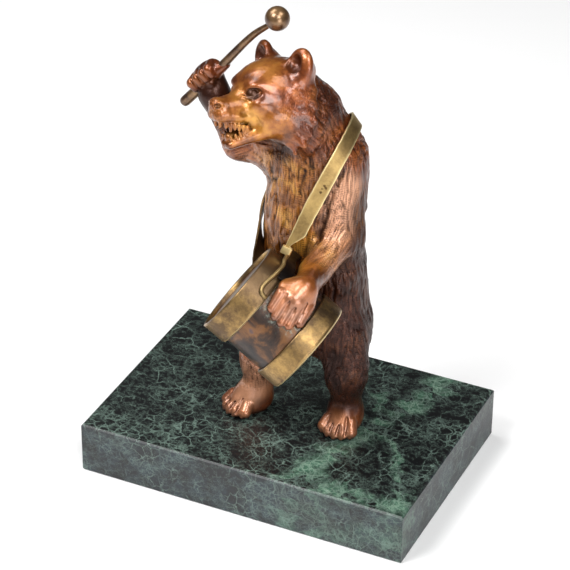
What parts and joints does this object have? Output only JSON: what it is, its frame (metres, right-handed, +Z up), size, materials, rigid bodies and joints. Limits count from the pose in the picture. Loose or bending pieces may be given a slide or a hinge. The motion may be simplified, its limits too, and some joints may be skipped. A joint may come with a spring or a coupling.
{
  "type": "bronze bear figure",
  "caption": "Standing bronze bear that beats a drum hung from a shoulder strap, one arm raised with a drumstick, on a flat rectangular marble slab.",
  "frame": {"origin": "centre of the marble slab's underside", "axes": "+Z up, +X along the slab's long side to the bear's left, -Y to the front that the bear faces"},
  "size_m": [0.15, 0.1064, 0.2124],
  "materials": {
    "marble": "polished dark green serpentine with pale green veins",
    "bear_bronze": "warm red-brown patina, glossy on the high places and dark in the fur",
    "drum_bronze": "dark brown patina with grey and orange patches",
    "hoop_brass": "brushed brass with brown tarnish",
    "strap_brass": "bare pale brass, lightly worn",
    "stick_bronze": "brown bronze, polished",
    "tab_dark": "blackened, matte"
  },
  "bodies": {
    "root": {"marble_base": "marble", "bear": "bear_bronze", "drum_body": "drum_bronze", "drum_hoop_upper": "hoop_brass", "drum_hoop_lower": "hoop_brass", "drumstick": "stick_bronze", "shoulder_strap": "strap_brass", "strap_keeper": "strap_brass", "strap_tab": "tab_dark", "drum_hook": "strap_brass"}
  },
  "joints": []
}
